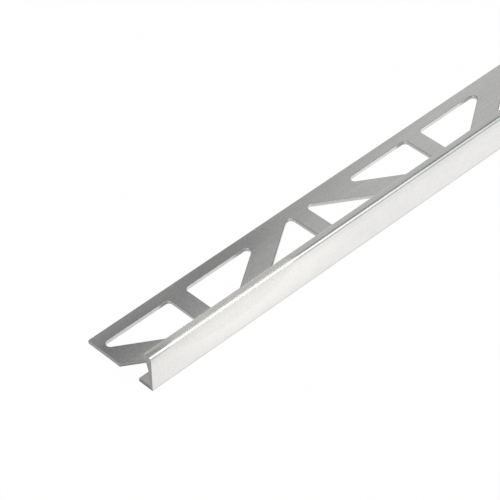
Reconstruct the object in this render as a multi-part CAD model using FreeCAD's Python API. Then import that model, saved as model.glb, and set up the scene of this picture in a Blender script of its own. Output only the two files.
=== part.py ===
"""Tile edge trim: one length of aluminium L-section, extruded in one piece and then punched.

The flat leg lies in the adhesive bed under the tiles. The upright wall closes the edge of the tiling
and ends in a thicker head, whose lip stops the tile. The leg is punched with a row of right-angled
trapezoids, in pairs that face each other across a rib. Every second pair is turned round, so that
the metal left between two pairs is a slanting strut.

Lengths are in millimetres. X runs along the trim, from the sawn end in view to the far end. Y runs
from the outer face of the wall to the free edge of the leg, and Z is up. The origin is the middle of
the part's box at floor level.
"""

import FreeCAD, Part
import math
import os

NODE = "edge_trim"

# Section
LENGTH = 1000.0
HEIGHT = 10.0
WIDTH = 21.3
LEG_THICKNESS = 1.0
WALL_THICKNESS = 1.0
NECK_STEP = 0.7
LIP_STEP = 0.7
LIP_DEPTH = 1.6
LIP_SLOPE_HEIGHT = 0.45
NECK_TAPER_HEIGHT = 2.5

# Rounding of the section's corners
FACE_ROUND = 1.0
EDGE_ROUND = 0.1
LIP_ROUND = 0.2
NECK_ROUND = 0.5
TAPER_ROUND = 3.0
SEAT_FILLET = 0.3

# Punched pattern in the leg
FREE_RAIL = 3.2
ROOT_RAIL = 3.4
RIB_WIDTH = 4.85
HOLE_LONG_SIDE = 22.6
HOLE_SHORT_SIDE = 1.65
STRUT_RUN = 10.4
HOLE_CORNER = 1.1
FIRST_RIB_FROM_END = 24.2
PUNCH_CLEARANCE = 1.0

# The share of a side that its two roundings may take together
ROUNDING_ROOM = 0.98

# Sizes that follow from those above
NECK_WIDTH = WALL_THICKNESS + NECK_STEP
HEAD_WIDTH = NECK_WIDTH + LIP_STEP
HOLE_ROOT_EDGE = WALL_THICKNESS + ROOT_RAIL
HOLE_FREE_EDGE = WIDTH - FREE_RAIL
RIB_PITCH = RIB_WIDTH + HOLE_LONG_SIDE + HOLE_SHORT_SIDE + STRUT_RUN


def along(start, end, distance):
    """The point that lies a distance from start on the way to end."""
    step = end.sub(start)
    step.normalize()
    return start.add(step.multiply(distance))


def rounding(corners):
    """The radius and the tangent length at each corner, made smaller where a side is too short for them."""
    count = len(corners)
    turns = []
    for i in range(count):
        before = corners[i - 1][0].sub(corners[i][0])
        after = corners[(i + 1) % count][0].sub(corners[i][0])
        turns.append(math.pi - before.getAngle(after))
    wanted = [corners[i][1] * math.tan(turns[i] / 2) for i in range(count)]
    shares = []
    for i in range(count):
        side = corners[i][0].distanceToPoint(corners[(i + 1) % count][0])
        shares.append(min(1.0, ROUNDING_ROOM * side / (wanted[i] + wanted[(i + 1) % count])))
    fitted = []
    for i in range(count):
        share = min(shares[i - 1], shares[i])
        fitted.append((share * corners[i][1], share * wanted[i], turns[i]))
    return fitted


def rounded_wire(corners):
    """A closed wire of straight lines and tangent arcs, from (point, radius) for each corner."""
    count = len(corners)
    arcs = []
    for i, (radius, tangent, turn) in enumerate(rounding(corners)):
        corner = corners[i][0]
        start = along(corner, corners[i - 1][0], tangent)
        end = along(corner, corners[(i + 1) % count][0], tangent)
        middle_of_chord = start.add(end).multiply(0.5)
        bulge = radius / math.cos(turn / 2) - radius
        arcs.append((start, along(corner, middle_of_chord, bulge), end))
    edges = []
    for i, (start, middle, end) in enumerate(arcs):
        edges.append(Part.Arc(start, middle, end).toShape())
        edges.append(Part.LineSegment(end, arcs[(i + 1) % count][0]).toShape())
    return Part.Wire(edges)


def section_corners():
    """The L-section's corners and their roundings, in turn: outer face, head, lip, neck, wall, leg."""
    lip_bottom = HEIGHT - LIP_DEPTH
    neck_top = lip_bottom - LIP_SLOPE_HEIGHT
    taper_bottom = neck_top - NECK_TAPER_HEIGHT
    outline = [
        (0.0, 0.0, EDGE_ROUND),
        (0.0, HEIGHT, FACE_ROUND),
        (HEAD_WIDTH, HEIGHT, EDGE_ROUND),
        (HEAD_WIDTH, lip_bottom, LIP_ROUND),
        (NECK_WIDTH, neck_top, NECK_ROUND),
        (WALL_THICKNESS, taper_bottom, TAPER_ROUND),
        (WALL_THICKNESS, LEG_THICKNESS, SEAT_FILLET),
        (WIDTH, LEG_THICKNESS, EDGE_ROUND),
        (WIDTH, 0.0, EDGE_ROUND),
    ]
    return [(FreeCAD.Vector(0.0, y, z), radius) for y, z, radius in outline]


def extruded_bar():
    """The unpunched L-section at its full length, with its near end at X = 0."""
    return Part.Face(rounded_wire(section_corners())).extrude(FreeCAD.Vector(LENGTH, 0.0, 0.0))


def punch(rib_centre, side, long_side_outwards):
    """The solid that punches one trapezoid, on one side (-1 or 1) of a rib."""
    long_edge, short_edge = HOLE_FREE_EDGE, HOLE_ROOT_EDGE
    if not long_side_outwards:
        long_edge, short_edge = short_edge, long_edge
    square_side = rib_centre + side * RIB_WIDTH / 2
    outline = [
        (square_side, short_edge),
        (square_side + side * HOLE_SHORT_SIDE, short_edge),
        (square_side + side * HOLE_LONG_SIDE, long_edge),
        (square_side, long_edge),
    ]
    corners = [(FreeCAD.Vector(x, y, -PUNCH_CLEARANCE), HOLE_CORNER) for x, y in outline]
    depth = LEG_THICKNESS + 2 * PUNCH_CLEARANCE
    return Part.Face(rounded_wire(corners)).extrude(FreeCAD.Vector(0.0, 0.0, depth))


def punches():
    """All punches that meet the bar, rib by rib. Those at the two sawn ends cut only part of a hole."""
    reach = RIB_WIDTH / 2 + HOLE_LONG_SIDE
    first = math.floor((-reach - FIRST_RIB_FROM_END) / RIB_PITCH)
    last = math.ceil((LENGTH + reach - FIRST_RIB_FROM_END) / RIB_PITCH)
    found = []
    for rib in range(first, last + 1):
        rib_centre = FIRST_RIB_FROM_END + rib * RIB_PITCH
        for side in (-1, 1):
            ends = (rib_centre + side * RIB_WIDTH / 2, rib_centre + side * reach)
            if max(ends) > 0.0 and min(ends) < LENGTH:
                found.append(punch(rib_centre, side, rib % 2 == 0))
    return found


def edge_trim():
    """The punched trim, moved so that the origin is at the middle of its box, at floor level."""
    trim = extruded_bar().cut(punches())
    trim.translate(FreeCAD.Vector(-LENGTH / 2, -WIDTH / 2, 0.0))
    return trim.Solids[0] if len(trim.Solids) == 1 else trim


os.makedirs("parts", exist_ok=True)
shape = edge_trim()
shape.exportStep(f"parts/{NODE}.step")
box = shape.BoundBox
print(f"{NODE}: {len(shape.Solids)} solid, {len(shape.Faces)} faces, valid {shape.isValid()}")
print(f"box {box.XLength:.3f} x {box.YLength:.3f} x {box.ZLength:.3f} mm, volume {shape.Volume:.1f} mm3")
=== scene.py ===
"""Looks of the tile edge trim: its finely meshed body, its finishes, the studio and the camera.

Everything is in metres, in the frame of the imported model: X runs along the trim, Y from the wall's
outer face to the leg's free edge, and Z up. The trim's own sizes are written in millimetres, times MM.
"""

import math

import bpy
from mathutils import Matrix, Vector


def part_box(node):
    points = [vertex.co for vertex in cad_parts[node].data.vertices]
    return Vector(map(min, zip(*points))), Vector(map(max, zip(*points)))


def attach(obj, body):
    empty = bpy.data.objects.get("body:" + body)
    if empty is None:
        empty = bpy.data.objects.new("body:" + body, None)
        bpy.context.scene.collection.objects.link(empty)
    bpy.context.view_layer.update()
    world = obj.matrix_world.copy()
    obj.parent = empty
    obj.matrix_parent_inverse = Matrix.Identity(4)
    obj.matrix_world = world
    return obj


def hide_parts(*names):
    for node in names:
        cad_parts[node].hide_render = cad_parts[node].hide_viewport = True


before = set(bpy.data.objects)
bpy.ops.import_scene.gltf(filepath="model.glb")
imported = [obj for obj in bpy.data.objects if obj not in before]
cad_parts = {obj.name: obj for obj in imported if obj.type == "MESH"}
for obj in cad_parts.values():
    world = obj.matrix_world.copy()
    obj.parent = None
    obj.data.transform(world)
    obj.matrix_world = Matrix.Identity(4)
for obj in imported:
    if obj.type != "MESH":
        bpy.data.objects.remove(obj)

MM = 0.001
NODE = "edge_trim"
LOW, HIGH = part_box(NODE)
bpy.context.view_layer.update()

# Section, as in the CAD model. Its length, width and height come from the frame.
LEG_THICKNESS = 1.0 * MM
WALL_THICKNESS = 1.0 * MM
NECK_STEP = 0.7 * MM
LIP_STEP = 0.7 * MM
LIP_DEPTH = 1.6 * MM
LIP_SLOPE_HEIGHT = 0.45 * MM
NECK_TAPER_HEIGHT = 2.5 * MM
FACE_ROUND = 1.0 * MM
EDGE_ROUND = 0.1 * MM
LIP_ROUND = 0.2 * MM
NECK_ROUND = 0.5 * MM
TAPER_ROUND = 3.0 * MM
SEAT_FILLET = 0.3 * MM

# Punched pattern, as in the CAD model
FREE_RAIL = 3.2 * MM
ROOT_RAIL = 3.4 * MM
RIB_WIDTH = 4.85 * MM
HOLE_LONG_SIDE = 22.6 * MM
HOLE_SHORT_SIDE = 1.65 * MM
STRUT_RUN = 10.4 * MM
HOLE_CORNER = 1.1 * MM
FIRST_RIB_FROM_END = 24.2 * MM

LENGTH = HIGH.x - LOW.x
WIDTH = HIGH.y - LOW.y
HEIGHT = HIGH.z - LOW.z
HEAD_WIDTH = WALL_THICKNESS + NECK_STEP + LIP_STEP
HOLE_ROOT_EDGE = WALL_THICKNESS + ROOT_RAIL
HOLE_FREE_EDGE = WIDTH - FREE_RAIL
RIB_PITCH = RIB_WIDTH + HOLE_LONG_SIDE + HOLE_SHORT_SIDE + STRUT_RUN

# Fineness of the mesh
SLICE = 5.0 * MM
ARC_STEP = math.radians(7.5)
SMALL_ARC = 0.4 * MM
SMALL_ARC_STEP = math.radians(22.5)
STEP_TOLERANCE = 1e-6
PUNCH_CORNER_STEPS = 10
SMOOTH_ANGLE = math.radians(32.0)

# Edges that the saw and the punch leave. What lies nearer to an end than the depth counts as sawn.
SAWN_EDGE_BREAK = 0.03 * MM
SAWN_DEPTH = 0.9 * SAWN_EDGE_BREAK
ROLL_OVER_REACH = 0.12 * MM
ROLL_OVER_DEPTH = 0.05 * MM
ROLL_OVER_TURN = math.radians(72.0)
ROLL_OVER_STEPS = 6
PUNCH_ABOVE = 0.01 * MM
PUNCH_BELOW = 0.05 * MM

# Camera, from the lower corner of the wall's outer face at the near end
CAMERA_FROM_CORNER = Vector((-237.28, -282.09, 379.43)) * MM
CAMERA_BEARING = math.radians(46.4957)
CAMERA_PITCH = math.radians(42.5679)
CAMERA_ROLL = math.radians(-1.3527)
CAMERA_LENS = 172.91
CAMERA_SENSOR = 36.0
CAMERA_SEES_FROM = 0.01
CAMERA_SEES_TO = 20.0

# Floor, and the share of plain white that it shows to the camera and in the metal
FLOOR_SIZE = 8.0
FLOOR_GAP = 0.02 * MM
FLOOR_WHITE = 0.985
FLOOR_COLOUR = (0.95, 0.95, 0.95, 1.0)
WHITE = (1.0, 1.0, 1.0, 1.0)


# Shape of the trim

def arc_points(corner, before, after, radius, step):
    """Points of the arc that rounds a corner of an outline, on the way from before to after."""
    to_before = (before - corner).normalized()
    to_after = (after - corner).normalized()
    turn = math.pi - to_before.angle(to_after)
    tangent = radius * math.tan(turn / 2)
    centre = corner + (to_before + to_after).normalized() * math.hypot(tangent, radius)
    start = corner + to_before * tangent - centre
    side = 1.0 if (corner - before).cross(after - corner) > 0 else -1.0
    count = max(1, math.ceil(turn / step - STEP_TOLERANCE))
    return [centre + Matrix.Rotation(side * turn * i / count, 2) @ start for i in range(count + 1)]


def section_outline():
    """The L-section's outline as (y, z) points, from the leg's underside up the outer face and back."""
    lip_bottom = HEIGHT - LIP_DEPTH
    neck_top = lip_bottom - LIP_SLOPE_HEIGHT
    neck_width = WALL_THICKNESS + NECK_STEP
    corners = [
        (0.0, 0.0, EDGE_ROUND),
        (0.0, HEIGHT, FACE_ROUND),
        (HEAD_WIDTH, HEIGHT, EDGE_ROUND),
        (HEAD_WIDTH, lip_bottom, LIP_ROUND),
        (neck_width, neck_top, NECK_ROUND),
        (WALL_THICKNESS, neck_top - NECK_TAPER_HEIGHT, TAPER_ROUND),
        (WALL_THICKNESS, LEG_THICKNESS, SEAT_FILLET),
        (WIDTH, LEG_THICKNESS, EDGE_ROUND),
        (WIDTH, 0.0, EDGE_ROUND),
    ]
    places = [Vector((y, z)) for y, z, radius in corners]
    outline = []
    for i, (y, z, radius) in enumerate(corners):
        step = SMALL_ARC_STEP if radius < SMALL_ARC else ARC_STEP
        after = places[(i + 1) % len(places)]
        outline += arc_points(places[i], places[i - 1], after, radius, step)
    return outline


def inset(outline, distance):
    """The closed outline moved inwards by a distance, point by point."""
    moved = []
    for i, place in enumerate(outline):
        along = (outline[(i + 1) % len(outline)] - outline[i - 1]).normalized()
        moved.append(place + Vector((along.y, -along.x)) * distance)
    return moved


def new_mesh_object(name, points, faces):
    """A mesh object at the origin, linked to the scene."""
    mesh = bpy.data.meshes.new(name)
    mesh.from_pydata(points, [], faces)
    mesh.validate()
    made = bpy.data.objects.new(name, mesh)
    bpy.context.scene.collection.objects.link(made)
    return made


def unpunched_bar():
    """The section drawn out along X in slices, with its edges broken a little at the two sawn ends."""
    outline = section_outline()
    broken = inset(outline, SAWN_EDGE_BREAK)
    slices = round(LENGTH / SLICE)
    stations = [(0.0, broken), (SAWN_EDGE_BREAK, outline)]
    stations += [(LENGTH * i / slices, outline) for i in range(1, slices)]
    stations += [(LENGTH - SAWN_EDGE_BREAK, outline), (LENGTH, broken)]
    points = []
    for x, ring in stations:
        points += [(LOW.x + x, LOW.y + place.x, LOW.z + place.y) for place in ring]
    count = len(outline)
    faces = [tuple(range(count))]
    for i in range(len(stations) - 1):
        for j in range(count):
            k = (j + 1) % count
            faces.append((i * count + k, i * count + j, (i + 1) * count + j, (i + 1) * count + k))
    faces.append(tuple((len(stations) - 1) * count + j for j in reversed(range(count))))
    return new_mesh_object("bar", points, faces)


def punch_levels():
    """Heights on the punch and how far each stands outside the hole's outline, from below upwards."""
    top = LOW.z + LEG_THICKNESS
    reach = ROLL_OVER_REACH / (1.0 - math.cos(ROLL_OVER_TURN))
    depth = ROLL_OVER_DEPTH / math.sin(ROLL_OVER_TURN)
    levels = [(LOW.z - PUNCH_BELOW, 0.0)]
    for i in range(ROLL_OVER_STEPS + 1):
        turn = ROLL_OVER_TURN * i / ROLL_OVER_STEPS
        levels.append((top - ROLL_OVER_DEPTH + depth * math.sin(turn), reach * (1.0 - math.cos(turn))))
    spread_per_height = reach * math.sin(ROLL_OVER_TURN) / (depth * math.cos(ROLL_OVER_TURN))
    levels.append((top + PUNCH_ABOVE, ROLL_OVER_REACH + spread_per_height * PUNCH_ABOVE))
    return levels


def punch():
    """The punch for the hole to the right of a rib at X = 0, with its long side at the free edge."""
    square_side = RIB_WIDTH / 2
    corners = [
        Vector((square_side, HOLE_ROOT_EDGE)),
        Vector((square_side + HOLE_SHORT_SIDE, HOLE_ROOT_EDGE)),
        Vector((square_side + HOLE_LONG_SIDE, HOLE_FREE_EDGE)),
        Vector((square_side, HOLE_FREE_EDGE)),
    ]
    outline = []
    for i, corner in enumerate(corners):
        before, after = corners[i - 1], corners[(i + 1) % len(corners)]
        turn = math.pi - (before - corner).angle(after - corner)
        inwards = ((before - corner).normalized() + (after - corner).normalized()).normalized()
        centre = corner + inwards * HOLE_CORNER / math.cos(turn / 2)
        for place in arc_points(corner, before, after, HOLE_CORNER, turn / PUNCH_CORNER_STEPS):
            outline.append((place, (place - centre).normalized()))
    points = []
    levels = punch_levels()
    for z, spread in levels:
        for place, outwards in outline:
            spot = place + outwards * spread
            points.append((spot.x, LOW.y + spot.y, z))
    count = len(outline)
    faces = [tuple(reversed(range(count)))]
    for i in range(len(levels) - 1):
        for j in range(count):
            k = (j + 1) % count
            faces.append((i * count + j, i * count + k, (i + 1) * count + k, (i + 1) * count + j))
    faces.append(tuple((len(levels) - 1) * count + j for j in range(count)))
    return new_mesh_object("punch", points, faces)


class Tree:
    """A node tree, with short ways to add nodes and to join them."""

    def __init__(self, tree):
        self.tree = tree

    def add(self, kind, inputs=None, **settings):
        """A new node with these settings, its inputs set to values or joined to sockets."""
        node = self.tree.nodes.new(kind)
        for name, value in settings.items():
            setattr(node, name, value)
        for name, value in (inputs or {}).items():
            self.feed(node.inputs[name], value)
        return node

    def feed(self, socket, value):
        """Joins an input to another node's output, or sets it to a plain value."""
        if isinstance(value, bpy.types.NodeSocket):
            self.tree.links.new(value, socket)
        else:
            socket.default_value = value

    def maths(self, operation, *values):
        """The result of a Math node."""
        node = self.add("ShaderNodeMath", operation=operation)
        for socket, value in zip(node.inputs, values):
            self.feed(socket, value)
        return node.outputs[0]

    def vector(self, operation, *values, out="Vector"):
        """The result of a Vector Math node."""
        node = self.add("ShaderNodeVectorMath", operation=operation)
        for socket, value in zip(node.inputs, values):
            self.feed(socket, value)
        return node.outputs[out]

    def ramp(self, value, start, end, low=0.0, high=1.0):
        """A smooth step of value from low at start to high at end."""
        node = self.add(
            "ShaderNodeMapRange",
            {"Value": value, "From Min": start, "From Max": end, "To Min": low, "To Max": high},
            interpolation_type="SMOOTHSTEP",
        )
        return node.outputs["Result"]

    def mix(self, share, first, second, blend="MIX"):
        """A Mix node for colours, whose own sockets are the inputs 6 and 7 and the output 2."""
        node = self.add("ShaderNodeMix", data_type="RGBA", blend_type=blend)
        self.feed(node.inputs[0], share)
        self.feed(node.inputs[6], first)
        self.feed(node.inputs[7], second)
        return node.outputs[2]


def punching_tree():
    """Geometry Nodes that punch the leg: a pair of holes at each rib, every second pair turned round."""
    tree = bpy.data.node_groups.new("punched_leg", "GeometryNodeTree")
    sockets = [
        ("Bar", "NodeSocketGeometry"),
        ("Punch", "NodeSocketObject"),
        ("First rib", "NodeSocketFloat"),
        ("Rib pitch", "NodeSocketFloat"),
        ("Pairs in a row", "NodeSocketInt"),
        ("Middle of the holes", "NodeSocketFloat"),
        ("Half length", "NodeSocketFloat"),
        ("Smooth angle", "NodeSocketFloat"),
        ("Mill finish", "NodeSocketMaterial"),
        ("Sheared edge", "NodeSocketMaterial"),
        ("Sawn end", "NodeSocketMaterial"),
    ]
    for name, kind in sockets:
        tree.interface.new_socket(name, in_out="INPUT", socket_type=kind)
    tree.interface.new_socket("Trim", in_out="OUTPUT", socket_type="NodeSocketGeometry")
    t = Tree(tree)
    given = t.add("NodeGroupInput").outputs

    bar = t.add("GeometryNodeSetMaterial", {"Geometry": given["Bar"], "Material": given["Mill finish"]})
    tool = t.add("GeometryNodeObjectInfo", {"Object": given["Punch"]}).outputs["Geometry"]
    edged = t.add("GeometryNodeSetMaterial", {"Geometry": tool, "Material": given["Sheared edge"]})
    right = edged.outputs[0]
    mirrored = t.add("GeometryNodeTransform", {"Geometry": right, "Scale": (-1.0, 1.0, 1.0)})
    left = t.add("GeometryNodeFlipFaces", {"Mesh": mirrored.outputs[0]}).outputs[0]
    pair = t.add("GeometryNodeJoinGeometry")
    t.feed(pair.inputs[0], right)
    t.feed(pair.inputs[0], left)
    twice_middle = t.maths("MULTIPLY", given["Middle of the holes"], 2.0)
    over = t.add(
        "GeometryNodeTransform",
        {
            "Geometry": pair.outputs[0],
            "Translation": t.add("ShaderNodeCombineXYZ", {"Y": twice_middle}).outputs[0],
            "Scale": (1.0, -1.0, 1.0),
        },
    )
    turned = t.add("GeometryNodeFlipFaces", {"Mesh": over.outputs[0]}).outputs[0]

    period = t.maths("MULTIPLY", given["Rib pitch"], 2.0)
    step = t.add("ShaderNodeCombineXYZ", {"X": period}).outputs[0]
    punches = t.add("GeometryNodeJoinGeometry")
    for shape, ribs_on in ((pair.outputs[0], 0.0), (turned, -1.0)):
        first = t.maths("MULTIPLY_ADD", given["Rib pitch"], ribs_on, given["First rib"])
        ribs = t.add(
            "GeometryNodeMeshLine",
            {
                "Count": given["Pairs in a row"],
                "Start Location": t.add("ShaderNodeCombineXYZ", {"X": first}).outputs[0],
                "Offset": step,
            },
        )
        laid = t.add("GeometryNodeInstanceOnPoints", {"Points": ribs.outputs[0], "Instance": shape})
        t.feed(punches.inputs[0], laid.outputs[0])
    cutters = t.add("GeometryNodeRealizeInstances", {"Geometry": punches.outputs[0]})
    cut = t.add(
        "GeometryNodeMeshBoolean",
        {"Mesh 1": bar.outputs[0], "Mesh 2": cutters.outputs[0]},
        operation="DIFFERENCE",
        solver="EXACT",
    )

    angle = t.add("GeometryNodeInputMeshEdgeAngle").outputs["Unsigned Angle"]
    gentle = t.add(
        "FunctionNodeCompare",
        {"A": angle, "B": given["Smooth angle"]},
        operation="LESS_THAN",
    )
    rounded = t.add(
        "GeometryNodeSetShadeSmooth",
        {"Geometry": cut.outputs["Mesh"], "Shade Smooth": True},
        domain="FACE",
    )
    creased = t.add(
        "GeometryNodeSetShadeSmooth",
        {"Geometry": rounded.outputs[0], "Shade Smooth": gentle.outputs[0]},
        domain="EDGE",
    )
    solid = t.add("GeometryNodeRealizeInstances", {"Geometry": creased.outputs[0]})
    place = t.add("ShaderNodeSeparateXYZ", {0: t.add("GeometryNodeInputPosition").outputs[0]})
    from_middle = t.maths("ABSOLUTE", place.outputs["X"])
    from_end = t.maths("SUBTRACT", given["Half length"], from_middle)
    at_end = t.add("FunctionNodeCompare", {"A": from_end, "B": SAWN_DEPTH}, operation="LESS_THAN")
    finished = t.add(
        "GeometryNodeSetMaterial",
        {"Geometry": solid.outputs[0], "Selection": at_end.outputs[0], "Material": given["Sawn end"]},
    )
    t.add("NodeGroupOutput", {"Trim": finished.outputs[0]})
    return tree


def punched_trim(mill_finish, sheared_edge, sawn_end):
    """The whole trim as one plain mesh."""
    bar = unpunched_bar()
    tool = punch()
    modifier = bar.modifiers.new("punching", "NODES")
    modifier.node_group = punching_tree()
    values = {
        "Punch": tool,
        "First rib": LOW.x + FIRST_RIB_FROM_END,
        "Rib pitch": RIB_PITCH,
        "Pairs in a row": math.ceil(LENGTH / RIB_PITCH / 2) + 1,
        "Middle of the holes": LOW.y + (HOLE_ROOT_EDGE + HOLE_FREE_EDGE) / 2,
        "Half length": LENGTH / 2,
        "Smooth angle": SMOOTH_ANGLE,
        "Mill finish": mill_finish,
        "Sheared edge": sheared_edge,
        "Sawn end": sawn_end,
    }
    for item in modifier.node_group.interface.items_tree:
        if item.name in values:
            modifier[item.identifier] = values[item.name]
    flat_faces_lead = bar.modifiers.new("flat faces lead", "WEIGHTED_NORMAL")
    flat_faces_lead.keep_sharp = True
    evaluated = bar.evaluated_get(bpy.context.evaluated_depsgraph_get())
    mesh = bpy.data.meshes.new_from_object(evaluated)
    trim = bpy.data.objects.new("trim", mesh)
    bpy.context.scene.collection.objects.link(trim)
    bpy.data.objects.remove(bar)
    bpy.data.objects.remove(tool)
    return trim


# Finishes

# Die lines are a noise drawn out along X. The soft clouds are a noise with its middle values spread out.
DIE_LINE_DETAIL = 3.0
DIE_LINE_ROUGHNESS = 0.6
CLOUD_DETAIL = 2.0
CLOUD_ROUGHNESS = 0.5
CLOUD_SPREAD = (0.3, 0.7)


def new_group(name, inputs, outputs):
    """An empty shader node group with these sockets, as (tree, input sockets, output node)."""
    group = bpy.data.node_groups.new(name, "ShaderNodeTree")
    for socket, kind in inputs:
        group.interface.new_socket(socket, in_out="INPUT", socket_type=kind)
    for socket, kind in outputs:
        group.interface.new_socket(socket, in_out="OUTPUT", socket_type=kind)
    t = Tree(group)
    return t, t.add("NodeGroupInput").outputs, t.add("NodeGroupOutput")


def place_group(t, group, **values):
    """A group node in a material; a value's name has underscores for the socket's spaces."""
    node = t.add("ShaderNodeGroup", node_tree=group)
    for name, value in values.items():
        t.feed(node.inputs[name.replace("_", " ")], value)
    return node.outputs


def drawn_lines_group():
    """Fine die lines along X, which the extrusion die leaves on every long surface."""
    t, given, out = new_group(
        "drawn_lines",
        [
            ("Place", "NodeSocketVector"),
            ("Lines per mm", "NodeSocketFloat"),
            ("Run", "NodeSocketFloat"),
        ],
        [("Height", "NodeSocketFloat")],
    )
    across = t.maths("MULTIPLY", given["Lines per mm"], 1.0 / MM)
    along = t.maths("DIVIDE", 1.0, given["Run"])
    scale = t.add("ShaderNodeCombineXYZ", {"X": along, "Y": across, "Z": across}).outputs[0]
    noise = t.add(
        "ShaderNodeTexNoise",
        {
            "Vector": t.vector("MULTIPLY", given["Place"], scale),
            "Scale": 1.0,
            "Detail": DIE_LINE_DETAIL,
            "Roughness": DIE_LINE_ROUGHNESS,
        },
    )
    t.feed(out.inputs["Height"], noise.outputs["Fac"])
    return t.tree


def cloud_group():
    """Soft clouds in the finish, from 0 to 1."""
    t, given, out = new_group(
        "soft_clouds",
        [
            ("Place", "NodeSocketVector"),
            ("Cloud size", "NodeSocketFloat"),
            ("Offset", "NodeSocketFloat"),
        ],
        [("Cloud", "NodeSocketFloat")],
    )
    noise = t.add(
        "ShaderNodeTexNoise",
        {
            "Vector": given["Place"],
            "W": given["Offset"],
            "Scale": t.maths("DIVIDE", 1.0, given["Cloud size"]),
            "Detail": CLOUD_DETAIL,
            "Roughness": CLOUD_ROUGHNESS,
        },
        noise_dimensions="4D",
    )
    t.feed(out.inputs["Cloud"], t.ramp(noise.outputs["Fac"], *CLOUD_SPREAD))
    return t.tree


def patch_group():
    """One soft-edged patch of another finish or of painted shade, 1 in its middle and 0 outside its
    reach.
    """
    t, given, out = new_group(
        "soft_patch",
        [
            ("Place", "NodeSocketVector"),
            ("Middle", "NodeSocketVector"),
            ("Reach", "NodeSocketVector"),
            ("Core", "NodeSocketFloat"),
        ],
        [("Patch", "NodeSocketFloat")],
    )
    away = t.vector("DIVIDE", t.vector("SUBTRACT", given["Place"], given["Middle"]), given["Reach"])
    far_out = t.vector("LENGTH", away, out="Value")
    t.feed(out.inputs["Patch"], t.ramp(far_out, given["Core"], 1.0, 1.0, 0.0))
    return t.tree


def new_material(name):
    """A bare metal with its Principled shader, as (material, tree, shader, object coordinates)."""
    material = bpy.data.materials.new(name)
    material.use_nodes = True
    t = Tree(material.node_tree)
    shader = next(n for n in t.tree.nodes if n.type == "BSDF_PRINCIPLED")
    shader.inputs["Metallic"].default_value = 1.0
    return material, t, shader, t.add("ShaderNodeTexCoord").outputs["Object"]


def patch(t, place, middle, reach, core, share):
    """An uneven place of the finish or a place of painted shade, as a mask from 0 to its share."""
    mask = place_group(
        t,
        soft_patch,
        Place=place,
        Middle=LOW + Vector(middle) * MM,
        Reach=Vector(reach) * MM,
        Core=core,
    )["Patch"]
    return t.maths("MULTIPLY", mask, share)


def clouds_of(t, place, size, offset):
    """Soft clouds of a size, from 0 to 1; the offset makes them unlike those of another offset."""
    return place_group(t, soft_clouds, Place=place, Cloud_size=size, Offset=offset)["Cloud"]


def facing(t, axis):
    """How far the surface faces along an axis, from -1 to 1."""
    normal = t.add("ShaderNodeTexCoord").outputs["Normal"]
    return t.add("ShaderNodeSeparateXYZ", {0: normal}).outputs[axis]


def about_zero(t, noise, share):
    """A noise from 0 to 1 moved to either side of zero, times a share."""
    return t.maths("MULTIPLY", t.maths("SUBTRACT", noise, 0.5), share)


def grey(t, value):
    """The grey with this value."""
    return t.add("ShaderNodeCombineColor", {"Red": value, "Green": value, "Blue": value}).outputs[0]


def shaded(t, tone, shade):
    """A tone made lighter or darker by a factor."""
    return t.mix(1.0, tone, grey(t, shade), "MULTIPLY")


def raised(t, shader, height, strength, distance):
    """The finest relief of a finish, as a bump in the shader's normal."""
    bump = t.add("ShaderNodeBump", {"Height": height, "Strength": strength, "Distance": distance})
    t.feed(shader.inputs["Normal"], bump.outputs[0])


# Mill finish: its tones, and the sizes and offsets of what makes them uneven
METAL_TONE = (0.83, 0.825, 0.815, 1.0)
CLOUDED_TONE = (0.88, 0.87, 0.85, 1.0)
MOTTLED_TONE = (0.82, 0.82, 0.82, 1.0)
MOTTLED_SHARE = 0.5
CLOUDS = (9.0 * MM, 2.0)
MOTTLES = (2.2 * MM, 5.0)
GRAINS = (0.3 * MM, 8.0)
SCUFFS = (0.8 * MM, 11.0)
DIE_LINES_PER_MM = 2.5
DIE_LINE_RUN = 60.0 * MM

# The normal's share of Z from which a face begins to count as level and at which it is, and the same
# for an upright one. The head's rounding lies between the two.
LEVEL_FACING = (0.85, 0.98)
UPRIGHT_FACING = (0.3, 0.05)

# How much grain, die lines and scuffs change the tone: everywhere, and more on level and upright faces
GRAIN_ANYWHERE = 0.015
GRAIN_ON_UPRIGHT = 0.035
GRAIN_ON_LEVEL = 0.085
LINES_ANYWHERE = 0.03
LINES_ON_LEVEL = 0.19
SCUFFS_ON_UPRIGHT = 0.03
SPECKLE_MIDDLE = 0.98
DARK_PLACE_UNEVENNESS = 0.08

SATIN_ROUGHNESS = 0.2
CLOUDS_ROUGHEN_BY = 0.04
MATT_ROUGHENS_BY = 0.26
DIE_LINE_BUMP = 0.03
DIE_LINE_HEIGHT = 0.01 * MM

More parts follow.
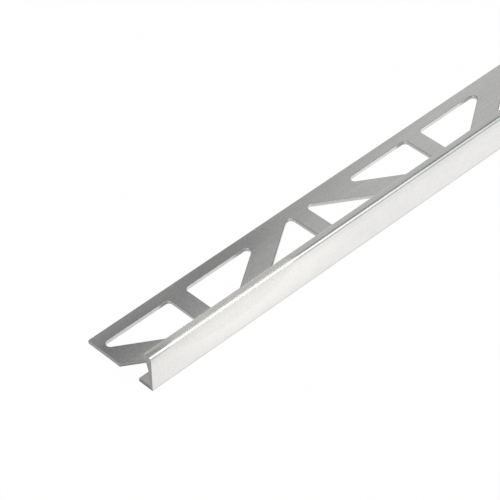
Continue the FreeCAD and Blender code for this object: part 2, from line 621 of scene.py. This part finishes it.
# Uneven places in the finish, and places of painted shade: middle and reach in mm from the near lower
# corner of the outer face, the share of the reach that is full, and how far the finish goes over to the
# other tone there
DULL_AND_PAINTED_SHADE_PLACES = {
    # Painted shade: the leg's darker reflection at its near end and along its free rail.
    "painted shade over the leg's near end": ((-130, 12.5, 1), (245, 11.2, 5), 0.2, 0.9),
    "painted shade along the free rail": ((-7, 20, 1), (133, 8.6, 5), 0.2, 0.48),
    "end of the painted shade along the free rail": ((41, 19.5, 1), (19, 6, 5), 0.3, 0.13),
    # Painted shade in the crease where the leg meets the wall, at the near end.
    "painted shade in the crease at the wall's foot": ((0, 2.6, 1), (8, 3, 1), 0.5, 0.28),
    "dull end of the head": ((0.5, 1.3, 10), (7, 0.6, 1), 0.2, 0.33),
    "dull end of the lip": ((3, 1.9, 10), (9, 1.0, 1), 0.2, 0.1),
    "dull end of the head's corner": ((0, 0.3, 9.5), (4, 0.8, 1), 0.3, 0.12),
    # Painted shade: a darker reflection along the head, between its highlight and its top.
    "painted dark reflection along the head": ((65, 0.95, 10), (16, 0.22, 1), 0.3, 0.11),
    "dull end of the face": ((0, 0, 6), (20, 1, 9), 0.2, 0.05),
    "dull band under the head": ((500, 0, 9), (1000, 0.6, 2.2), 0.1, 0.08),
    # Painted contact shade along the bottom edge of the outer face.
    "painted contact shade along the wall's foot": ((500, 0, 0.15), (1000, 0.5, 0.72), 0.3, 0.2),
}
RUBBED_FACE = ((32, 0, 6.5), (38, 1.5, 7.5), 0.3, 0.8)
MATT_STRETCH = ((25.5, 1, 9.5), (21.5, 4, 6), 0.75, 1.0)
WARM_STRETCH = ((14, 1.9, 10), (33, 1.2, 1), 0.75, 0.9)
DULL_AND_PAINTED_SHADE_TONE = (0.05, 0.06, 0.06, 1.0)
WARM_TONE = (0.84, 0.83, 0.775, 1.0)
RUBBED_TONE = (0.97, 0.955, 0.925, 1.0)


def mill_finish_material():
    """Bare aluminium as it comes from the press: satin, with die lines, soft clouds, dull places and
    painted shade.
    """
    material, t, shader, place = new_material("mill_finish")
    clouds = clouds_of(t, place, *CLOUDS)
    mottles = clouds_of(t, place, *MOTTLES)
    grain = clouds_of(t, place, *GRAINS)
    scuffs = clouds_of(t, place, *SCUFFS)
    lines = place_group(
        t, drawn_lines, Place=place, Lines_per_mm=DIE_LINES_PER_MM, Run=DIE_LINE_RUN
    )["Height"]

    tone = t.mix(clouds, METAL_TONE, CLOUDED_TONE)
    tone = t.mix(t.maths("MULTIPLY", mottles, MOTTLED_SHARE), tone, MOTTLED_TONE)
    tone = t.mix(patch(t, place, *WARM_STRETCH), tone, WARM_TONE)
    tone = t.mix(patch(t, place, *RUBBED_FACE), tone, RUBBED_TONE)
    both = t.maths("ADD", grain, scuffs)
    uneven = t.maths("MULTIPLY_ADD", both, -DARK_PLACE_UNEVENNESS, 1.0 + DARK_PLACE_UNEVENNESS)
    # Some of these are painted shade: darker reflections on leg and head, crease shade, contact shade.
    for one in DULL_AND_PAINTED_SHADE_PLACES.values():
        tone = t.mix(t.maths("MULTIPLY", patch(t, place, *one), uneven), tone, DULL_AND_PAINTED_SHADE_TONE)

    up = facing(t, "Z")
    level = t.ramp(up, *LEVEL_FACING)
    none, full = UPRIGHT_FACING
    upright = t.ramp(t.maths("ABSOLUTE", up), full, none, 1.0, 0.0)
    grain_share = t.maths("MULTIPLY_ADD", upright, GRAIN_ON_UPRIGHT, GRAIN_ANYWHERE)
    grain_share = t.maths("MULTIPLY_ADD", level, GRAIN_ON_LEVEL, grain_share)
    speckle = t.maths("ADD", about_zero(t, grain, grain_share), SPECKLE_MIDDLE)
    lines_share = t.maths("MULTIPLY_ADD", level, LINES_ON_LEVEL, LINES_ANYWHERE)
    speckle = t.maths("ADD", speckle, about_zero(t, lines, lines_share))
    scuffs_share = t.maths("MULTIPLY", upright, SCUFFS_ON_UPRIGHT)
    speckle = t.maths("ADD", speckle, about_zero(t, scuffs, scuffs_share))
    t.feed(shader.inputs["Base Color"], shaded(t, tone, speckle))

    satin = t.maths("MULTIPLY_ADD", clouds, CLOUDS_ROUGHEN_BY, SATIN_ROUGHNESS)
    matt = patch(t, place, *MATT_STRETCH)
    t.feed(shader.inputs["Roughness"], t.maths("MULTIPLY_ADD", matt, MATT_ROUGHENS_BY, satin))
    raised(t, shader, lines, DIE_LINE_BUMP, DIE_LINE_HEIGHT)
    return material


# Walls of the holes: a tone for those that run along the trim, and a darker one, painted shade by
# facing, for those that run across it
SHEARED_ALONG_TONE = (0.70, 0.70, 0.69, 1.0)
SHEARED_ACROSS_SHADE_TONE = (0.46, 0.46, 0.455, 1.0)
SHEARED_ROUGHNESS = 0.35

# Spans of the normal's share of Y: over the first a wall becomes one that runs along the trim. A
# hole's corners begin over the second and end over the third. Slanting walls end over the last.
ALONG_FACING = (0.7, 1.0)
CORNER_FACING_BEGINS = (0.3, 0.5)
CORNER_FACING_ENDS = (0.7, 0.82)
SLANT_FACING_ENDS = (0.9, 0.98)

# Streaks of the shearing: lines per mm, their run, the span of the noise and the shades at its ends
STREAKS_PER_MM = 3.0
STREAK_RUN = 8.0 * MM
STREAK_SPAN = (0.35, 0.65)
STREAK_SHADES = (0.92, 1.08)

# Walls get lighter over this distance from the near end, between these shades
LIGHTENING_RUN = 110.0 * MM
LIGHTENING_SHADES = (0.9, 1.06)

# The upper part of a wall, in shares of the leg's thickness: darker across the trim, which is painted
# shade under the roll-over, with a painted highlight as a light rim in the corners and on the near
# strut, which ends between two distances from the near end
UPPER_SHADE_PART = (0.4, 1.0)
UPPER_PAINTED_SHADE = -0.25
RIM_PART = (0.5, 0.75)
RIM_PAINTED_HIGHLIGHT = 0.7
NEAR_STRUT_ENDS = (10.0 * MM, 14.0 * MM)

# Painted shade at the ends of the walls along the trim, in the holes' corners, by the distance in mm
# from a rib whose holes are long at the free rail: middle, how far it is full, how far it reaches and
# how much darker it is
CORNER_SHADES = [(22.5, 2.5, 5.5, 0.5), (-3.4, 1.2, 2.6, 0.58), (35.3, 0.5, 1.4, 0.5)]

# Walls made much darker at the near end, as a soft patch, and their tone
DULL_NEAR_WALLS = ((0, 8, 0), (14, 9, 2), 0.5, 0.68)
DULL_WALL_TONE = (0.13, 0.13, 0.13, 1.0)


def sheared_edge_material():
    """A hole's punched wall: streaked, with painted shade in corners and up top, and a painted highlight
    rim.
    """
    material, t, shader, place = new_material("sheared_edge")
    part = t.add("ShaderNodeSeparateXYZ", {0: place}).outputs
    from_near_end = t.maths("SUBTRACT", part["X"], LOW.x)
    thickness_share = t.maths("DIVIDE", t.maths("SUBTRACT", part["Z"], LOW.z), LEG_THICKNESS)
    sideways = t.maths("ABSOLUTE", facing(t, "Y"))
    along = t.ramp(sideways, *ALONG_FACING)

    streaks = place_group(
        t, drawn_lines, Place=place, Lines_per_mm=STREAKS_PER_MM, Run=STREAK_RUN
    )["Height"]
    shade = t.ramp(streaks, *STREAK_SPAN, *STREAK_SHADES)
    lightening = t.ramp(from_near_end, 0.0, LIGHTENING_RUN, *LIGHTENING_SHADES)
    shade = t.maths("MULTIPLY", shade, lightening)
    # Painted shade on the upper part of the walls across the trim, under the roll-over.
    across = t.maths("SUBTRACT", 1.0, along)
    upper_shade = t.maths("MULTIPLY", t.ramp(thickness_share, *UPPER_SHADE_PART), across)
    shade = t.maths("MULTIPLY", shade, t.maths("MULTIPLY_ADD", upper_shade, UPPER_PAINTED_SHADE, 1.0))

    # A painted highlight: a light rim on the upper part of the walls in the corners and on the near
    # strut.
    out_of_corner = t.ramp(sideways, *CORNER_FACING_ENDS, 1.0, 0.0)
    in_corner = t.maths("MULTIPLY", t.ramp(sideways, *CORNER_FACING_BEGINS), out_of_corner)
    near_end = t.ramp(from_near_end, *NEAR_STRUT_ENDS, 1.0, 0.0)
    near_strut = t.maths("MULTIPLY", near_end, t.ramp(sideways, *SLANT_FACING_ENDS, 1.0, 0.0))
    rimmed = t.maths("MAXIMUM", in_corner, near_strut)
    rim = t.maths("MULTIPLY", t.ramp(thickness_share, *RIM_PART), rimmed)
    shade = t.maths("MULTIPLY", shade, t.maths("MULTIPLY_ADD", rim, RIM_PAINTED_HIGHLIGHT, 1.0))

    from_rib = t.maths("SUBTRACT", from_near_end, FIRST_RIB_FROM_END)
    from_rib = t.maths("WRAP", from_rib, RIB_PITCH, -RIB_PITCH)
    # Painted shade in the holes' corners.
    for middle, full, reach, darker in CORNER_SHADES:
        away = t.maths("ABSOLUTE", t.maths("SUBTRACT", from_rib, middle * MM))
        corner_shade = t.maths("MULTIPLY", t.ramp(away, full * MM, reach * MM, darker, 0.0), along)
        shade = t.maths("MULTIPLY", shade, t.maths("SUBTRACT", 1.0, corner_shade))

    # Walls across the trim take the darker tone: painted shade by facing.
    tone = shaded(t, t.mix(along, SHEARED_ACROSS_SHADE_TONE, SHEARED_ALONG_TONE), shade)
    tone = t.mix(patch(t, place, *DULL_NEAR_WALLS), tone, DULL_WALL_TONE)
    t.feed(shader.inputs["Base Color"], tone)
    shader.inputs["Roughness"].default_value = SHEARED_ROUGHNESS
    return material


# Sawn ends: the tones of the leg, the wall and the head, and the heights between which one ends and the
# next is reached
SAWN_LEG_TONE = (0.385, 0.385, 0.38, 1.0)
SAWN_WALL_TONE = (0.345, 0.345, 0.337, 1.0)
SAWN_HEAD_TONE = (0.39, 0.385, 0.38, 1.0)
SAWN_LEG_ENDS = (0.8 * MM, 1.6 * MM)
SAWN_HEAD_BEGINS = (8.4 * MM, 9.4 * MM)
SAWN_PLACES = {
    "darker foot of the wall's end": ((0, 2.5, 0.4), (3, 3, 1.2), 0.5, 0.42),
    "darker towards the bottom edge": ((0, 10, 0), (3, 60, 0.55), 0.4, 0.25),
}

# Saw marks: their slant, how many there are per metre across and along, the span of the noise, and the
# shades and roughnesses at its ends
SAW_MARK_SLANT = math.radians(35.0)
SAW_MARKS_PER_METRE = (0.0, 9.0 / MM, 0.7 / MM)
SAW_MARK_DETAIL = 2.0
SAW_MARK_SPAN = (0.3, 0.7)
SAW_MARK_SHADES = (0.86, 1.12)
SAW_MARK_ROUGHNESSES = (0.44, 0.56)
SAW_MARK_BUMP = 0.25
SAW_MARK_HEIGHT = 0.02 * MM


def sawn_end_material():
    """The sawn end: duller and rougher, with fine saw marks that run down and across it."""
    material, t, shader, place = new_material("sawn_end")
    turned = t.add("ShaderNodeMapping", {"Vector": place, "Rotation": (SAW_MARK_SLANT, 0.0, 0.0)})
    stretched = t.vector("MULTIPLY", turned.outputs[0], SAW_MARKS_PER_METRE)
    noise = t.add("ShaderNodeTexNoise", {"Vector": stretched, "Scale": 1.0, "Detail": SAW_MARK_DETAIL})
    marks = noise.outputs["Fac"]

    z = t.add("ShaderNodeSeparateXYZ", {0: place}).outputs["Z"]
    height = t.maths("SUBTRACT", z, LOW.z)
    tone = t.mix(t.ramp(height, *SAWN_LEG_ENDS), SAWN_LEG_TONE, SAWN_WALL_TONE)
    tone = t.mix(t.ramp(height, *SAWN_HEAD_BEGINS), tone, SAWN_HEAD_TONE)
    for one in SAWN_PLACES.values():
        tone = t.mix(patch(t, place, *one), tone, DULL_AND_PAINTED_SHADE_TONE)
    shade = t.ramp(marks, *SAW_MARK_SPAN, *SAW_MARK_SHADES)
    t.feed(shader.inputs["Base Color"], shaded(t, tone, shade))

    t.feed(shader.inputs["Roughness"], t.ramp(marks, *SAW_MARK_SPAN, *SAW_MARK_ROUGHNESSES))
    raised(t, shader, marks, SAW_MARK_BUMP, SAW_MARK_HEIGHT)
    return material


# Studio

def camera():
    """The camera at the photograph's place and angle."""
    data = bpy.data.cameras.new("camera")
    data.lens = CAMERA_LENS
    data.sensor_width = CAMERA_SENSOR
    data.clip_start = CAMERA_SEES_FROM
    data.clip_end = CAMERA_SEES_TO
    made = bpy.data.objects.new("camera", data)
    bpy.context.scene.collection.objects.link(made)
    turn = Matrix.Rotation(CAMERA_BEARING - math.pi / 2, 4, "Z")
    tilt = Matrix.Rotation(math.pi / 2 - CAMERA_PITCH, 4, "X")
    roll = Matrix.Rotation(CAMERA_ROLL, 4, "Z")
    made.matrix_world = Matrix.Translation(LOW + CAMERA_FROM_CORNER) @ turn @ tilt @ roll
    bpy.context.scene.camera = made


def floor():
    """A plain white floor. It shows white to the camera and in the metal, and keeps a soft shadow."""
    half = FLOOR_SIZE / 2
    z = LOW.z - FLOOR_GAP
    corners = [(-half, -half, z), (half, -half, z), (half, half, z), (-half, half, z)]
    made = new_mesh_object("floor", corners, [(0, 1, 2, 3)])
    material = bpy.data.materials.new("floor_white")
    material.use_nodes = True
    t = Tree(material.node_tree)
    t.tree.nodes.clear()
    diffuse = t.add("ShaderNodeBsdfDiffuse", {"Color": FLOOR_COLOUR})
    white = t.add("ShaderNodeEmission", {"Color": WHITE, "Strength": 1.0})
    path = t.add("ShaderNodeLightPath").outputs
    seen = t.maths("MAXIMUM", path["Is Camera Ray"], path["Is Glossy Ray"])
    share = t.maths("MULTIPLY", seen, FLOOR_WHITE)
    mixed = t.add("ShaderNodeMixShader", {0: share, 1: diffuse.outputs[0], 2: white.outputs[0]})
    t.add("ShaderNodeOutputMaterial", {"Surface": mixed.outputs[0]})
    made.data.materials.append(material)


# The studio's light goes round the trim's length, in degrees from the horizon before the wall, up and
# over the trim and down to the horizon behind the leg. Each band is its middle, how far it is full,
# how far it reaches, and how much lighter or darker it makes the studio.
STUDIO_LEVEL = 0.58
STUDIO_BANDS = [
    (8, 8, 26, -0.15),
    (104, 12, 24, -0.34),
    (180, 20, 50, 0.1),
]

# Where along the trim something of the studio begins or ends is given by X in the direction of light,
# which is a unit vector. The bands and the long soft box begin over this span.
BANDS_BEGIN = (0.18, 0.3)

# The long soft box slants: at one X its middle is at an angle, and it turns by the slant for each
# unit of X. The box's own first number is counted from there.
SOFT_BOX = (0, 7, 26, 1.04)
SOFT_BOX_MIDDLE = 54
SOFT_BOX_MIDDLE_AT = 0.45
SOFT_BOX_SLANT = -70
SOFT_BOX_ENDS = (0.526, 0.602)
SOFT_BOX_FAR_SHARE = 0.06
SOFT_BOX_FAR_TINT = (0.62, 0.88, 1.0, 1.0)

# The side box stands nearly square to the trim, so that in this view only the matt stretch catches it.
# Along X it has a middle, how far it is full and how far it reaches.
SIDE_BOX = (54, 28, 60, 2.65)
SIDE_BOX_ALONG = (0.26, 0.07, 0.15)

# Far along the trim the studio is a little darker overhead, and colder where the head's corner
# mirrors it
FAR_BAND = (86, 8, 28, -0.13)
FAR_BAND_BEGINS = (0.53, 0.575)
COLD_BAND = (42, 14, 52, 1.0)
COLD_BAND_BEGINS = (0.55, 0.61)
COLD_TINT = (0.82, 0.955, 1.03, 1.0)


def band(t, angle, middle, full, reach, height):
    """A soft-edged band of the studio, as the height that it adds at an angle."""
    away = t.maths("ABSOLUTE", t.maths("SUBTRACT", angle, math.radians(middle)))
    return t.ramp(away, math.radians(full), math.radians(reach), height, 0.0)


def soft_box_light(t, x, angle, begun):
    """The long soft box, which slants, and is weak and bluish at its far end."""
    from_there = t.maths("SUBTRACT", x, SOFT_BOX_MIDDLE_AT)
    turned = t.maths("MULTIPLY", from_there, math.radians(SOFT_BOX_SLANT))
    middle = t.maths("ADD", turned, math.radians(SOFT_BOX_MIDDLE))
    share = t.maths("MULTIPLY", t.ramp(x, *SOFT_BOX_ENDS, 1.0, SOFT_BOX_FAR_SHARE), begun)
    box = t.maths("MULTIPLY", band(t, t.maths("SUBTRACT", angle, middle), *SOFT_BOX), share)
    return shaded(t, t.mix(t.ramp(x, *SOFT_BOX_ENDS), WHITE, SOFT_BOX_FAR_TINT), box)


def studio():
    """A grey studio as the world, with a long soft box and a side box before and above the trim."""
    world = bpy.data.worlds.new("studio")
    bpy.context.scene.world = world
    world.use_nodes = True
    t = Tree(world.node_tree)
    direction = t.add("ShaderNodeTexCoord").outputs["Generated"]
    part = t.add("ShaderNodeSeparateXYZ", {0: direction}).outputs
    x = part["X"]
    angle = t.maths("ARCTAN2", part["Z"], t.maths("MULTIPLY", part["Y"], -1.0))

    bands = 0.0
    for one in STUDIO_BANDS:
        bands = t.maths("ADD", band(t, angle, *one), bands)
    begun = t.ramp(x, *BANDS_BEGIN)
    level = t.maths("MULTIPLY_ADD", bands, begun, STUDIO_LEVEL)
    level = t.maths("MULTIPLY_ADD", band(t, angle, *FAR_BAND), t.ramp(x, *FAR_BAND_BEGINS), level)
    middle, full, reach = SIDE_BOX_ALONG
    from_middle = t.maths("ABSOLUTE", t.maths("SUBTRACT", x, middle))
    at_side = t.ramp(from_middle, full, reach, 1.0, 0.0)
    level = t.maths("MULTIPLY_ADD", band(t, angle, *SIDE_BOX), at_side, level)

    lit = t.mix(1.0, grey(t, level), soft_box_light(t, x, angle, begun), "ADD")
    cold = t.maths("MULTIPLY", band(t, angle, *COLD_BAND), t.ramp(x, *COLD_BAND_BEGINS))
    lit = t.mix(1.0, lit, t.mix(cold, WHITE, COLD_TINT), "MULTIPLY")
    background = next(n for n in t.tree.nodes if n.type == "BACKGROUND")
    path = t.add("ShaderNodeLightPath").outputs
    t.feed(background.inputs["Color"], t.mix(path["Is Camera Ray"], lit, WHITE))
    background.inputs["Strength"].default_value = 1.0


drawn_lines = drawn_lines_group()
soft_clouds = cloud_group()
soft_patch = patch_group()

bpy.context.scene.view_settings.view_transform = "Standard"
camera()
studio()
floor()
trim = punched_trim(mill_finish_material(), sheared_edge_material(), sawn_end_material())
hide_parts(NODE)
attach(trim, "root")
